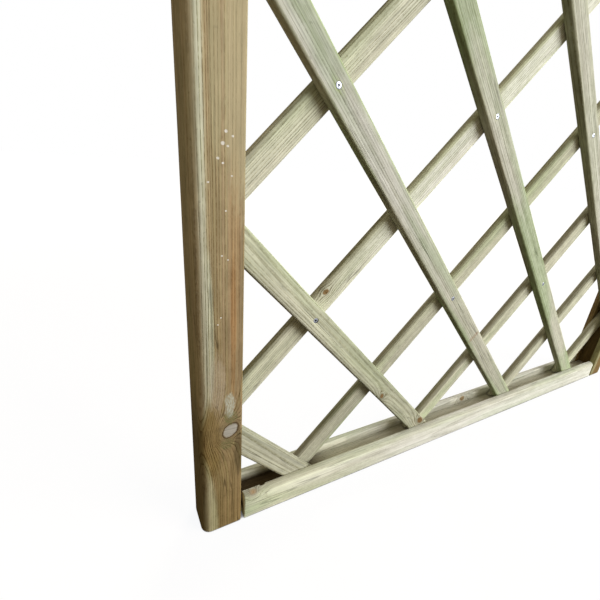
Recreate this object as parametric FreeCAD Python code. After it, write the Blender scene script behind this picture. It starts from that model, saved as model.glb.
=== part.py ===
import FreeCAD, Part
import math
import os

from FreeCAD import Vector

# Arched garden trellis: a grooved softwood frame with a curved top, holding a diagonal two-layer lattice.
# Millimetres. X runs along the panel, Y through it (front at -Y) and Z up.
# The origin is at the middle of the foot of the panel.

# Overall sizes
overall_width = 900.0
overall_height = 1800.0  # at the crown of the arch
arch_rise = 150.0  # from the tops of the stiles to the crown

# Frame timber
frame_depth = 45.0
stile_width = 45.0
stile_round = 10.0  # of its outer edges
stile_lip_round = 3.0
rail_height = 34.0
rail_lip_round = 7.0
rail_foot_round = 1.5
arch_height = 45.0
arch_round = 10.0
arch_round_flats = 3  # its curved edges are worked in flats
arch_lip_ease = 2.5
groove_depth = 16.0
lip_land = 1.0  # least flat left on a lip beside its rounding

# Lattice slats
slat_width = 28.0
slat_thickness = 12.0
slat_round = 3.0
nominal_pitch = 216.0
slat_side_fit = 0.5  # between a slat and the lip of the groove
slat_end_gap = 2.0  # between a slat's end and the floor of the groove

# Stub tenons on the rail and on the feet of the arch
tenon_fit = 0.2  # on each cheek
shoulder_gap = 3.5  # the tenon bottoms in the groove before its shoulders close

# Arch joints
arch_segments = 3
dowel_diameter = 10.0
dowel_length = 60.0
dowel_spacing = 20.0
dowel_side_fit = 0.1
dowel_end_gap = 1.0
dowel_sides = 12

# Fasteners
screw_head_diameter = 5.8
screw_shank_diameter = 3.0
screw_point = 3.0
screw_cover = 3.0  # wood left behind the screw's point
pin_diameter = 2.8
pin_head_diameter = 6.0
pin_cover = 5.0  # wood left in front of the pin's end
pin_spacing = 20.0
fastener_sides = 8  # screws and pins are worked in flats

# Sizes that follow from the ones above
half_width = overall_width / 2
inner_half = half_width - stile_width
stile_top = overall_height - arch_rise
groove_width = 2 * (slat_thickness + slat_side_fit)
tenon_thickness = groove_width - 2 * tenon_fit
lip_thickness = (frame_depth - groove_width) / 2
shoulder_half = inner_half - shoulder_gap
tenon_end = inner_half + groove_depth
rail_floor = rail_height - groove_depth
arch_radius = (inner_half ** 2 + arch_rise ** 2) / (2 * arch_rise)
arch_centre_z = overall_height - arch_radius
arch_floor_radius = arch_radius - arch_height + groove_depth
arch_axis_point = Vector(0, 0, arch_centre_z)
through = Vector(0, 1, 0)
columns = max(2, round((overall_width - stile_width) / nominal_pitch))
rows = max(2, round((overall_height - stile_width) / nominal_pitch))
column_pitch = (overall_width - stile_width) / columns
row_pitch = (overall_height - stile_width) / rows
lattice_left = stile_width / 2 - half_width
lattice_foot = stile_width / 2
slope = row_pitch / column_pitch
slat_angle = math.degrees(math.atan(slope))


def profile(corners, place):
    """Face through right-angled corners (a, b, radius); place(a, b) gives the point in space."""
    ends = []
    edges = []
    for index, (a, b, radius) in enumerate(corners):
        before = corners[index - 1]
        after = corners[(index + 1) % len(corners)]
        corner = Vector(a, b, 0)
        back = (Vector(before[0], before[1], 0) - corner).normalize()
        onward = (Vector(after[0], after[1], 0) - corner).normalize()
        start = corner + back * radius
        end = corner + onward * radius
        middle = corner + (back + onward) * (radius * (1 - math.sqrt(0.5)))
        ends.append((place(start.x, start.y), place(end.x, end.y)))
        if radius > 0:
            edges.append(Part.Arc(ends[-1][0], place(middle.x, middle.y), ends[-1][1]).toShape())
    for index, (start, end) in enumerate(ends):
        following = ends[(index + 1) % len(ends)][0]
        edges.append(Part.LineSegment(end, following).toShape())
    return Part.Face(Part.Wire(Part.__sortEdges__(edges)))


def mirrored(corners):
    return [(-a, b, radius) for a, b, radius in reversed(corners)]


def grooved_section(height, outer_corners, lip_corners, place):
    """Frame section: a runs through the panel, b from the plain side (0) to the grooved side (height).

    The corners (a, b, radius) are those on the positive side, in order from the plain side.
    """
    mouth = groove_width / 2
    groove_corners = [(mouth, height, 0), (mouth, height - groove_depth, 0)]
    right = outer_corners + lip_corners + groove_corners
    return profile(right + mirrored(right), place)


def rounded(b, radius):
    """Frame arris at height b as one round corner."""
    return [(frame_depth / 2, b, radius)]


def rounded_lip(b, radius):
    """Arris beside the groove, no wider than the lip can take."""
    return rounded(b, min(radius, lip_thickness - lip_land))


def flatted(b, radius, inward, flats):
    """Frame arris at height b worked in flats round a quarter circle; inward is +1 or -1 along b."""
    centre_a = frame_depth / 2 - radius
    turns = [math.radians(90 * step / flats) for step in range(flats + 1)]
    if inward > 0:
        turns.reverse()
    return [
        (centre_a + radius * math.cos(turn), b + inward * radius * (1 - math.sin(turn)), 0) for turn in turns
    ]


def spindle(stations, sides):
    """Small turned body on the Y axis, worked in flats, through rings (y, radius); radius 0 is a point."""
    rings = []
    for y, radius in stations:
        turns = [2 * math.pi * (side + 0.5) / sides for side in range(sides)]
        rings.append([Vector(radius * math.cos(turn), y, radius * math.sin(turn)) for turn in turns])
    faces = []
    for (_, radius), ring in ((stations[0], rings[0]), (stations[-1], rings[-1])):
        if radius > 0:
            faces.append(Part.Face(Part.makePolygon(ring + ring[:1])))
    for (_, radius), ring, following in zip(stations[1:], rings, rings[1:]):
        for side in range(sides):
            ahead = (side + 1) % sides
            outline = [ring[side], ring[ahead], following[ahead], following[side]]
            if radius == 0:
                outline.pop()
            faces.append(Part.Face(Part.makePolygon(outline + outline[:1])))
    solid = Part.Solid(Part.Shell(faces))
    if solid.Volume < 0:
        solid.reverse()
    return solid


def box(low, high):
    size = high - low
    return Part.makeBox(size.x, size.y, size.z, low)


# Fasteners


def screw(x, z):
    """Countersunk lattice screw, driven from the front face of the front slat."""
    head_radius = screw_head_diameter / 2
    shank_radius = screw_shank_diameter / 2
    face = -slat_thickness
    tip = slat_thickness - screw_cover
    stations = [
        (face, head_radius),
        (face + head_radius - shank_radius, shank_radius),
        (tip - screw_point, shank_radius),
        (tip, 0),
    ]
    solid = spindle(stations, fastener_sides)
    solid.translate(Vector(x, 0, z))
    return solid


def pin(x, z):
    """Frame pin, driven from the back through a tenon, with its countersunk head flush."""
    back = frame_depth / 2
    head_radius = pin_head_diameter / 2
    shank_radius = pin_diameter / 2
    stations = [
        (back, head_radius),
        (back - head_radius + shank_radius, shank_radius),
        (pin_cover - back, shank_radius),
    ]
    solid = spindle(stations, fastener_sides)
    solid.translate(Vector(x, 0, z))
    return solid


def pin_places(side):
    """Pin centres (x, z) on one stile, side -1 left or +1 right."""
    x = side * (inner_half + groove_depth / 2)
    foot = arch_centre_z + math.sqrt(arch_floor_radius ** 2 - x ** 2)
    middle = (foot + stile_top) / 2
    return [(x, rail_floor / 2), (x, middle - pin_spacing / 2), (x, middle + pin_spacing / 2)]


# Frame members


def stile(side):
    """Upright, grooved on its inner face from end to end."""
    section = grooved_section(
        stile_width,
        rounded(0, stile_round),
        rounded_lip(stile_width, stile_lip_round),
        lambda a, b: Vector(side * (half_width - b), a, 0),
    )
    solid = section.extrude(Vector(0, 0, stile_top))
    for x, z in pin_places(side):
        solid = solid.cut(pin(x, z))
    return solid


def bottom_rail():
    """Rail grooved along its top, with a stub tenon under the groove at each end."""
    section = grooved_section(
        rail_height,
        rounded(0, rail_foot_round),
        rounded_lip(rail_height, rail_lip_round),
        lambda a, b: Vector(-shoulder_half, a, b),
    )
    solid = section.extrude(Vector(2 * shoulder_half, 0, 0))
    half = tenon_thickness / 2
    tenon = box(Vector(-tenon_end, -half, 0), Vector(tenon_end, half, rail_floor))
    solid = solid.fuse(tenon).removeSplitter()
    for side in (-1, 1):
        x, z = pin_places(side)[0]
        solid = solid.cut(pin(x, z))
    return solid


def arch_turn(shape, degrees):
    """Turns a shape about the axis of the arch; positive moves the crown towards +X."""
    shape.rotate(arch_axis_point, through, degrees)
    return shape


def arch_half_angle():
    return math.degrees(math.asin(inner_half / arch_radius))


def arch_joint_angles():
    """Angles from the crown of the joints between neighbouring segments."""
    step = 2 * arch_half_angle() / arch_segments
    return [step * index - arch_half_angle() for index in range(1, arch_segments)]


def arch_foot_tenon(side):
    """Stub tenon that fills the top of the stile's groove, cut to the floor of the arch's own groove."""
    half = tenon_thickness / 2
    xs = sorted((side * shoulder_half, side * tenon_end))
    block = box(Vector(xs[0], -half, arch_centre_z), Vector(xs[1], half, stile_top))
    axis_end = Vector(0, -frame_depth / 2, arch_centre_z)
    field = Part.makeCylinder(arch_floor_radius, frame_depth, axis_end, through)
    return block.cut(field)


def arch_dowel(angle, across, length, radius):
    """Dowel square to a joint, in the web above the groove."""
    web = arch_radius - (arch_height - groove_depth) / 2
    peg = spindle([(-length / 2, radius), (length / 2, radius)], dowel_sides)
    peg.rotate(Vector(), Vector(0, 0, 1), -90)
    peg.translate(Vector(0, across, arch_centre_z + web))
    return arch_turn(peg, angle)


def arch_dowels(length, radius):
    return [
        arch_dowel(angle, across, length, radius)
        for angle in arch_joint_angles()
        for across in (-dowel_spacing / 2, dowel_spacing / 2)
    ]


def arch_segment(index):
    """Sawn curved piece of the top rail; the end pieces carry the foot tenons."""
    joints = arch_joint_angles()
    run_past = 90.0 - arch_half_angle()
    start = -arch_half_angle() - run_past if index == 0 else joints[index - 1]
    stop = arch_half_angle() + run_past if index == arch_segments - 1 else joints[index]
    section = grooved_section(
        arch_height,
        flatted(0, arch_round, 1, arch_round_flats),
        flatted(arch_height, arch_lip_ease, -1, 1),
        lambda a, b: Vector(0, a, overall_height - b),
    )
    solid = arch_turn(section, start).revolve(arch_axis_point, through, stop - start)
    between = box(
        Vector(-shoulder_half, -frame_depth, arch_centre_z),
        Vector(shoulder_half, frame_depth, overall_height + arch_height),
    )
    solid = solid.common(between)
    for side, end in ((-1, 0), (1, arch_segments - 1)):
        if index == end:
            solid = solid.fuse(arch_foot_tenon(side)).removeSplitter()
            for x, z in pin_places(side)[1:]:
                solid = solid.cut(pin(x, z))
    for hole in arch_dowels(dowel_length + 2 * dowel_end_gap, dowel_diameter / 2 + dowel_side_fit):
        solid = solid.cut(hole)
    return solid


# Lattice


def lattice_outline():
    """Prism that the slats are trimmed to: the floors of the grooves, less the end gap."""
    side = inner_half + groove_depth - slat_end_gap
    foot = rail_floor + slat_end_gap
    radius = arch_floor_radius - slat_end_gap
    spring = arch_centre_z + math.sqrt(radius ** 2 - side ** 2)
    front = -frame_depth / 2
    low_left = Vector(-side, front, foot)
    low_right = Vector(side, front, foot)
    high_right = Vector(side, front, spring)
    high_left = Vector(-side, front, spring)
    crown = Vector(0, front, arch_centre_z + radius)
    edges = [
        Part.LineSegment(low_left, low_right).toShape(),
        Part.LineSegment(low_right, high_right).toShape(),
        Part.Arc(high_right, crown, high_left).toShape(),
        Part.LineSegment(high_left, low_left).toShape(),
    ]
    return Part.Face(Part.Wire(edges)).extrude(Vector(0, frame_depth, 0))


def slat_heights():
    """Heights at which the centre lines of one layer cross the middle of the panel, lowest first."""
    reach = (inner_half + groove_depth) * slope
    lowest = lattice_foot + slope * (lattice_left + column_pitch / 2)
    highest = arch_centre_z + arch_floor_radius * math.hypot(1, slope)
    spare = slat_width * math.hypot(1, slope)
    heights = [lowest + row_pitch * step for step in range(-columns, 2 * rows + columns)]
    return [z for z in heights if rail_height - reach + spare / 2 < z < highest - spare / 2]


def screw_places():
    """Crossings in every other row of the lattice that lie clear of the frame."""
    margin = slat_width
    places = []
    for row in range(1, rows + 1):
        for column in range(columns):
            x = lattice_left + column_pitch * (column + 0.5)
            z = lattice_foot + row_pitch * row
            reach = math.hypot(x, max(0.0, z - arch_centre_z))
            if abs(x) < inner_half - margin and reach < arch_radius - arch_height - margin:
                places.append((x, z))
    return places


def slat(height, layer, outline):
    """One slat; layer -1 is the front one, falling to the right, and +1 the rear one, rising to it."""
    half = slat_width / 2
    length = 2 * (overall_height + overall_width)
    corners = [
        (min(0, layer * slat_thickness), -half, slat_round),
        (max(0, layer * slat_thickness), -half, slat_round),
        (max(0, layer * slat_thickness), half, slat_round),
        (min(0, layer * slat_thickness), half, slat_round),
    ]
    strip = profile(corners, lambda a, b: Vector(-length / 2, a, b)).extrude(Vector(length, 0, 0))
    strip.rotate(Vector(), through, -layer * slat_angle)
    strip.translate(Vector(0, 0, height))
    strip = strip.common(outline)
    for x, z in screw_places():
        if abs(height + layer * slope * x - z) < slat_width / 2:
            strip = strip.cut(screw(x, z))
    return strip


# The whole trellis


def build():
    nodes = {
        "left_stile": stile(-1),
        "right_stile": stile(1),
        "bottom_rail": bottom_rail(),
        "lattice_screws": Part.makeCompound([screw(x, z) for x, z in screw_places()]),
        "frame_pins": Part.makeCompound([pin(x, z) for side in (-1, 1) for x, z in pin_places(side)]),
        "arch_dowels": Part.makeCompound(arch_dowels(dowel_length, dowel_diameter / 2)),
    }
    for index in range(arch_segments):
        nodes[f"arch_segment_{index + 1}"] = arch_segment(index)
    outline = lattice_outline()
    for number, height in enumerate(slat_heights(), start=1):
        nodes[f"front_slat_{number:02d}"] = slat(height, -1, outline)
        nodes[f"rear_slat_{number:02d}"] = slat(height, 1, outline)
    return nodes


def main():
    os.makedirs("parts", exist_ok=True)
    for name, shape in build().items():
        solids = shape.Solids
        if not solids or not all(solid.isValid() for solid in solids):
            raise ValueError(f"{name} is not made of valid solids")
        Part.makeCompound(solids).exportStep(f"parts/{name}.step")
        print(name, len(solids), round(sum(solid.Volume for solid in solids)))


main()
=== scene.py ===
"""Arched garden trellis: a grooved pine frame, a lattice of crossed slats and its zinc fixings."""

import math
import random

import bmesh
import bpy
from bpy.props import FloatProperty, FloatVectorProperty, PointerProperty
from bpy.types import Operator, Panel, PropertyGroup
from mathutils import Matrix, Vector


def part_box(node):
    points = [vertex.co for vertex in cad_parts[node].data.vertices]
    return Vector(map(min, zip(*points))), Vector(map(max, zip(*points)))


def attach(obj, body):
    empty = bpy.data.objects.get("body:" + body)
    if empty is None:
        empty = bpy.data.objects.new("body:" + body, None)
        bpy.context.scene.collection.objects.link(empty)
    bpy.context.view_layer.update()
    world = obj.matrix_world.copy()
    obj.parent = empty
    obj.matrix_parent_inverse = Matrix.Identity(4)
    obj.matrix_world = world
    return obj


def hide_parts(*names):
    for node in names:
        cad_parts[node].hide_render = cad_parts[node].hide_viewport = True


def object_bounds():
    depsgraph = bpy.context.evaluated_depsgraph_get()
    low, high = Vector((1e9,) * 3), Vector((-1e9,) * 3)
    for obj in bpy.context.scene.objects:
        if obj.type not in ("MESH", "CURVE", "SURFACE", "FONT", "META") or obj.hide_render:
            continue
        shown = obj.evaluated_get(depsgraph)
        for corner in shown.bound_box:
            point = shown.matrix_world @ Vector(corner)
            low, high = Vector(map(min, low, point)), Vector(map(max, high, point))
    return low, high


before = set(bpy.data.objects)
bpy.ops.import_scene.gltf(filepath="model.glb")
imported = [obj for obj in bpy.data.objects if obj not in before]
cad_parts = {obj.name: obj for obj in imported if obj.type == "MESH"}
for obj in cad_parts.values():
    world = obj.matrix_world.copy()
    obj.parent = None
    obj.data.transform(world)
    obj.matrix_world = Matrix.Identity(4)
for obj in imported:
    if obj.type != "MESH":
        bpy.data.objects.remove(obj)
cad_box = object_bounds()

bl_info = {
    "name": "Arched Garden Trellis",
    "version": (1, 0, 0),
    "blender": (4, 5, 0),
    "location": "View3D > Sidebar > Trellis",
    "description": "Builds a pine trellis panel around its packed frame",
    "category": "Add Mesh",
}

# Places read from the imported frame
stile_low, stile_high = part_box("left_stile")
rail_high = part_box("bottom_rail")[1]
screw_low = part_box("lattice_screws")[0]
half_width = cad_box[1].x
crown = cad_box[1].z
slat_numbers = sorted(name[-2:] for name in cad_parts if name.startswith("front_slat_"))

# Places nearer than this count as one
SAME = 1e-6
# How far beyond the groove's walls a point still counts as in the groove
GROOVE_SLACK = 2e-4
# Share of the groove's width that a tenon fills
TENON_FIT = 0.984
# Bodies of one node lie further apart than this
SCREW_APART = 0.02
PIN_APART = 0.008
# How far a pocket's cutter stands out of the face, and the length and narrowing of its point
POCKET_LIP = 0.002
POCKET_POINT = (0.0015, 0.5)
# How much wider and deeper than a screw's head its pocket is
SCREW_PLAY = 0.0003
SCREW_ROOM = 0.0004
# How far below the face a screw's head sits, and the one that was driven deep
SCREW_SINK = 0.00012
DEEP_SINK = 0.0010
# How much wider than a pin's head its pocket is, how deep the pocket is, and how far the head sits in it
PIN_PLAY = 0.0001
PIN_POCKET = 0.0005
PIN_SINK = 0.0003
# An edge runs along a board from this length and straightness on
LONG_EDGE = 0.05
STRAIGHT = 0.99
# A face that points this far along the grain shows end grain
END_GRAIN = 0.6
# Share of the painted shade and dirt that the grooves of the stiles and the arch hold
GROOVE_SHADE_AND_DIRT = 0.5
# How deep spots on a board reach
SKIN = 0.02


def tint(red, green, blue):
    """Linear colour of a screen colour in 0 to 255."""
    shares = (red / 255, green / 255, blue / 255)
    return tuple(c / 12.92 if c <= 0.04045 else ((c + 0.055) / 1.055) ** 2.4 for c in shares)


def ramp(value, low, high):
    """0 at low, 1 at high, straight between them and level beyond."""
    return min(max((value - low) / (high - low), 0.0), 1.0)


def length_prop(name, description, default):
    return FloatProperty(
        name=name, description=description, default=default, min=0.0, precision=4, unit="LENGTH"
    )


def colour_prop(name, description, default):
    return FloatVectorProperty(
        name=name, description=description, default=default, min=0.0, max=1.0, size=3, subtype="COLOR"
    )


class TrellisSizes(PropertyGroup):
    """Sizes of the boards and fixings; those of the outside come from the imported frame."""

    stile_width: length_prop("Stile width", "Width of an upright", stile_high.x - stile_low.x)
    frame_depth: length_prop("Frame depth", "Front to back of the frame", stile_high.y - stile_low.y)
    stile_top: length_prop("Stile height", "Height of the uprights", stile_high.z)
    rail_height: length_prop("Rail height", "Height of the foot rail", rail_high.z)
    arch_height: length_prop("Arch height", "Width of the curved top rail", 0.045)
    groove_width: length_prop("Groove width", "Width of the groove that holds the slats", 0.025)
    groove_depth: length_prop("Groove depth", "Depth of the groove that holds the slats", 0.016)
    shoulder_gap: length_prop("Shoulder gap", "Gap between a shoulder and the stile", 0.0035)
    outer_round: length_prop("Outer round", "Rounding of the outer edges of the stiles and the arch", 0.010)
    inner_round: length_prop("Inner round", "Rounding of their inner edges", 0.003)
    rail_round: length_prop("Rail round", "Rounding of the rail's upper edges", 0.007)
    foot_round: length_prop("Foot round", "Rounding of the rail's lower edges", 0.0015)
    end_round: length_prop("End round", "Rounding of the rail's ends", 0.002)
    lip_ease: length_prop("Lip ease", "Easing of the groove's edges", 0.0006)
    sawn_ease: length_prop("Sawn ease", "Easing of the stiles' sawn ends", 0.0007)
    slat_width: length_prop("Slat width", "Width of a slat", 0.028)
    slat_thickness: length_prop("Slat thickness", "Thickness of a slat", 0.012)
    slat_round: length_prop("Slat round", "Rounding of a front slat's long edges", 0.003)
    rear_round: length_prop("Rear slat round", "Rounding of a rear slat's long edges", 0.0055)
    end_gap: length_prop("End gap", "Gap between a slat's end and the groove's floor", 0.002)
    unevenness: length_prop("Unevenness", "How far planed faces dip", 0.0004)
    screw_head: length_prop("Screw head", "Radius of a lattice screw's head", 0.0029)
    pin_head: length_prop("Pin head", "Radius of a frame pin's head", 0.003)


class TrellisColours(PropertyGroup):
    """Colours of the timber and the fixings."""

    sapwood: colour_prop("Sapwood", "Pale early wood", tint(218, 218, 196))
    sap_late: colour_prop("Sapwood lines", "Late wood lines in sapwood", tint(150, 144, 110))
    heartwood: colour_prop("Heartwood", "Early wood of the heart", tint(182, 163, 128))
    heart_late: colour_prop("Heartwood lines", "Late wood lines in the heart", tint(136, 111, 76))
    treatment: colour_prop("Treatment", "Green that the preservative leaves", tint(212, 232, 200))
    damp: colour_prop("Damp", "What a damp foot keeps of its colour", (0.55, 0.48, 0.33))
    knot: colour_prop("Knot", "Middle of a knot", tint(128, 104, 72))
    knot_rim: colour_prop("Knot rim", "Bark ring of a knot", tint(76, 60, 42))
    beech: colour_prop("Beech", "Dowels in the arch", tint(205, 170, 125))
    zinc: colour_prop("Zinc", "Bright plating of the screws", tint(158, 162, 172))
    steel: colour_prop("Galvanised steel", "Dull coating of the pins", tint(150, 154, 158))


class TrellisStage(PropertyGroup):
    """Floor and light."""

    floor: colour_prop("Floor", "Colour that the floor throws back", (0.09, 0.075, 0.055))
    paleness: colour_prop("Floor paleness", "Pale look of the floor near the trellis", (0.91, 0.925, 0.945))
    key_power: FloatProperty(
        name="Key light", description="Power of the main light", default=275.0, unit="POWER"
    )
    back_power: FloatProperty(
        name="Back light", description="Power of the back light", default=170.0, unit="POWER"
    )
    sky_tint: colour_prop("Sky tint", "Colour of the light from all round", (1.0, 0.84, 0.58))
    sky_low: FloatProperty(
        name="Low sky", description="Strength of the light from the sides", default=0.21, min=0.0
    )
    sky_high: FloatProperty(
        name="High sky", description="Strength of the light from above", default=0.60, min=0.0
    )


def sizes():
    return bpy.context.scene.trellis_sizes


def colours():
    return bpy.context.scene.trellis_colours


# Modelling by hand


def only(piece):
    """Makes a piece the only one selected, and the active one."""
    bpy.ops.object.select_all(action="DESELECT")
    piece.select_set(True)
    bpy.context.view_layer.objects.active = piece


def named(piece, name):
    """Gives a piece and its mesh the same name."""
    piece.name = name
    piece.data.name = name
    return piece


def start(add, name, **options):
    """Adds a primitive on its own, names it and starts editing it with all of it selected."""
    if bpy.context.object and bpy.context.object.mode == "EDIT":
        bpy.ops.object.mode_set(mode="OBJECT")
    bpy.ops.object.select_all(action="DESELECT")
    add(**options)
    piece = named(bpy.context.object, name)
    bpy.ops.object.transform_apply(location=True, rotation=True, scale=True)
    bpy.ops.object.mode_set(mode="EDIT")
    bpy.ops.mesh.select_all(action="SELECT")
    return piece


def edit(piece):
    """Starts editing a piece with all of it selected."""
    only(piece)
    bpy.ops.object.mode_set(mode="EDIT")
    bpy.ops.mesh.select_all(action="SELECT")


def pick(kind, test):
    """Selects the faces, edges or verts of the piece being edited that pass the test."""
    bpy.ops.mesh.select_mode(type=kind[:-1].upper())
    bpy.ops.mesh.select_all(action="DESELECT")
    mesh = bmesh.from_edit_mesh(bpy.context.object.data)
    for item in getattr(mesh, kind):
        if test(item):
            item.select_set(True)
    bmesh.update_edit_mesh(bpy.context.object.data)


def cut(place, normal, trim=False):
    """Cuts all of the piece being edited with a plane.

    Trimming removes what lies beyond the plane and closes the end.
    """
    bpy.ops.mesh.select_all(action="SELECT")
    bpy.ops.mesh.bisect(plane_co=place, plane_no=normal, use_fill=trim, clear_outer=trim)


def push(offset):
    """Extrudes what is selected."""
    bpy.ops.mesh.extrude_region_move(TRANSFORM_OT_translate={"value": offset})


def lengthen(direction, cuts):
    """Divides the long edges that run along the direction."""
    axis = Vector(direction)

    def runs_along(edge):
        least = STRAIGHT * edge.calc_length()
        return abs((edge.verts[0].co - edge.verts[1].co).dot(axis)) > least > LONG_EDGE

    pick("edges", runs_along)
    bpy.ops.mesh.subdivide(number_cuts=cuts)


def close_edit():
    """Merges doubles, turns the faces outwards and leaves edit mode."""
    bpy.ops.mesh.select_mode(type="VERT")
    bpy.ops.mesh.select_all(action="SELECT")
    bpy.ops.mesh.remove_doubles(threshold=SAME)
    bpy.ops.mesh.normals_make_consistent(inside=False)
    bpy.ops.mesh.select_all(action="DESELECT")
    bpy.ops.object.mode_set(mode="OBJECT")


def place(piece, turn, offset):
    """Turns and moves a piece, and puts its place in its mesh."""
    only(piece)
    piece.rotation_euler = turn
    piece.location = offset
    bpy.ops.object.transform_apply(location=True, rotation=True, scale=True)


def apply_modifier(piece, kind, **settings):
    only(piece)
    bpy.ops.object.modifier_add(type=kind)
    modifier = piece.modifiers[-1]
    for name, value in settings.items():
        setattr(modifier, name, value)
    bpy.ops.object.modifier_apply(modifier=modifier.name)


def remove(piece):
    """Removes a piece that was only a help, with its mesh."""
    mesh = piece.data
    bpy.data.objects.remove(piece)
    bpy.data.meshes.remove(mesh)


def cut_away(piece, cutter):
    """Takes the cutter's shape out of the piece and removes the cutter."""
    apply_modifier(piece, "BOOLEAN", object=cutter, operation="DIFFERENCE", solver="EXACT")
    remove(cutter)


def copy_of(piece, name):
    """A copy with its own mesh."""
    only(piece)
    bpy.ops.object.duplicate()
    return named(bpy.context.object, name)


def join(pieces, name):
    """Makes one piece of several."""
    only(pieces[0])
    for piece in pieces:
        piece.select_set(True)
    if len(pieces) > 1:
        bpy.ops.object.join()
    return named(bpy.context.object, name)


def planed(piece):
    """Gives a board the slight dips of machine planing, always inwards."""
    texture = bpy.data.textures.get("planing") or bpy.data.textures.new("planing", "CLOUDS")
    texture.noise_scale = 0.09
    texture.noise_depth = 2
    apply_modifier(piece, "DISPLACE", texture=texture, strength=sizes().unevenness, mid_level=1.0)


def smooth(piece, degrees=32.0):
    only(piece)
    bpy.ops.object.shade_smooth_by_angle(angle=math.radians(degrees))


def disc(name, radius, height, middle):
    """Starts a short cylinder whose axis runs along Y."""
    return start(
        bpy.ops.mesh.primitive_cylinder_add, name, vertices=24, radius=radius, depth=height,
        location=middle, rotation=(math.pi / 2, 0.0, 0.0),
    )


def draw_out(way, steps):
    """Draws the end of the piece being edited out along Y; a step is a length and a narrowing."""
    for length, narrowing in steps:
        verts = bmesh.from_edit_mesh(bpy.context.object.data).verts
        far = max(way * v.co.y for v in verts)
        pick("faces", lambda f: way * f.normal.y > 0.9 and way * f.calc_center_median().y > far - SAME)
        push((0.0, way * length, 0.0))
        bpy.ops.transform.resize(value=(narrowing, 1.0, narrowing))


# Boards and their grain


def board_frame(origin, along, across, pith, start_at):
    """Matrix from the part's frame to a board's own (along, across, through), measured from its pith."""
    along, across = Vector(along), Vector(across)
    rows = [
        (*along, start_at - along.dot(Vector(origin))),
        (*across, -pith[0] - across.dot(Vector(origin))),
        (0.0, 1.0, 0.0, -pith[1]),
        (0.0, 0.0, 0.0, 1.0),
    ]
    return Matrix(rows)


def store(mesh, name, values, domain="POINT", kind="FLOAT"):
    """Stores a value, or a vector, for each point or face of a mesh."""
    field = "vector" if kind == "FLOAT_VECTOR" else "value"
    mesh.attributes.new(name, kind, domain).data.foreach_set(field, values)


def lay_grain(piece, to_board, character, groove_depth=None, worked=1.0):
    """Stores what the timber materials read.

    That is the board coordinates, the worked arrises, the depth in the groove (0 to 1), which sets the
    painted shade and dirt there, the end grain, and the look of the board at each place: its share of
    green, its share of grey and its brightness, which in places carries painted shade and painted light.
    """
    mesh = piece.data
    turn = to_board.to_3x3()
    grain, arris, groove, kept = [], [], [], []
    for vertex in mesh.vertices:
        normal = turn @ vertex.normal
        grain.extend(to_board @ vertex.co)
        arris.append(worked * min(1.0, 2.0 * abs(normal.y * normal.z)))
        groove.append(ramp(groove_depth(vertex.co), 0.0, 1.0) if groove_depth else 0.0)
        kept.extend(character(vertex.co))
    ends = [float(abs((turn @ face.normal).x) > END_GRAIN) for face in mesh.polygons]
    store(mesh, "grain", grain, kind="FLOAT_VECTOR")
    store(mesh, "arris", arris)
    store(mesh, "groove", groove)
    store(mesh, "end_grain", ends, domain="FACE")
    store(mesh, "character", kept, kind="FLOAT_VECTOR")


def on_face(board, y):
    """Gives the function from a place (x, z) on a face of a board to its place in the grain."""
    return lambda x, z: board @ Vector((x, y, z))


def finish_piece(piece, node, material):
    """Gives a piece its material, and its place in the frame."""
    piece.data.materials.clear()
    piece.data.materials.append(material)
    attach(piece, "root")
    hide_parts(node)


def grooved_profile(name, back, mouth, back_round, mouth_round):
    """Section of a frame board in X and Y: solid at back, grooved at mouth, with rounded corners."""
    s = sizes()
    deep, half_groove = s.frame_depth, s.groove_width / 2
    floor = mouth - math.copysign(s.groove_depth, mouth - back)
    profile = start(bpy.ops.mesh.primitive_plane_add, name, size=1.0)
    bpy.ops.transform.resize(value=(abs(mouth - back), deep, 1.0))
    bpy.ops.transform.translate(value=((mouth + back) / 2, 0.0, 0.0))
    cut((0.0, -half_groove, 0.0), (0.0, 1.0, 0.0))
    cut((0.0, half_groove, 0.0), (0.0, 1.0, 0.0))
    cut((floor, 0.0, 0.0), (1.0, 0.0, 0.0))

    def in_mouth(face):
        middle = face.calc_center_median()
        return abs(middle.y) < half_groove and abs(middle.x - back) > abs(floor - back)

    pick("faces", in_mouth)
    bpy.ops.mesh.delete(type="FACE")
    corners = (
        (back, deep / 2, back_round, 7),
        (mouth, deep / 2, mouth_round, 7),
        (mouth, half_groove, s.lip_ease, 2),
    )
    for x, y, radius, steps in corners:
        pick("verts", lambda v: abs(v.co.x - x) < SAME and abs(abs(v.co.y) - y) < SAME)
        bpy.ops.mesh.bevel(offset=radius, offset_type="OFFSET", segments=steps, affect="VERTICES")
    return profile


def straight_board(name, back, mouth, length, back_round, mouth_round, cuts):
    """Grooved board standing on its end, along Z."""
    board = grooved_profile(name, back, mouth, back_round, mouth_round)
    bpy.ops.mesh.select_all(action="SELECT")
    push((0.0, 0.0, length))
    lengthen((0.0, 0.0, 1.0), cuts)
    return board


def on_end_rim(edge, length):
    """True for an edge between a sawn end of a standing board and its sides."""
    at_end = all(min(abs(v.co.z), abs(v.co.z - length)) < SAME for v in edge.verts)
    return at_end and len(edge.link_faces) == 2 and sum(abs(f.normal.z) for f in edge.link_faces) < 1.5


def ease_ends(edges, width, steps=1):
    """Takes the sharpness off the sawn ends."""
    pick("edges", edges)
    bpy.ops.mesh.bevel(offset=width, offset_type="OFFSET", segments=steps, affect="EDGES")


def arch_circle():
    """Radius of the arch's outer curve, and the height of its centre."""
    half_span = half_width - sizes().stile_width
    rise = crown - sizes().stile_top
    radius = (half_span ** 2 + rise ** 2) / (2 * rise)
    return radius, crown - radius


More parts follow.
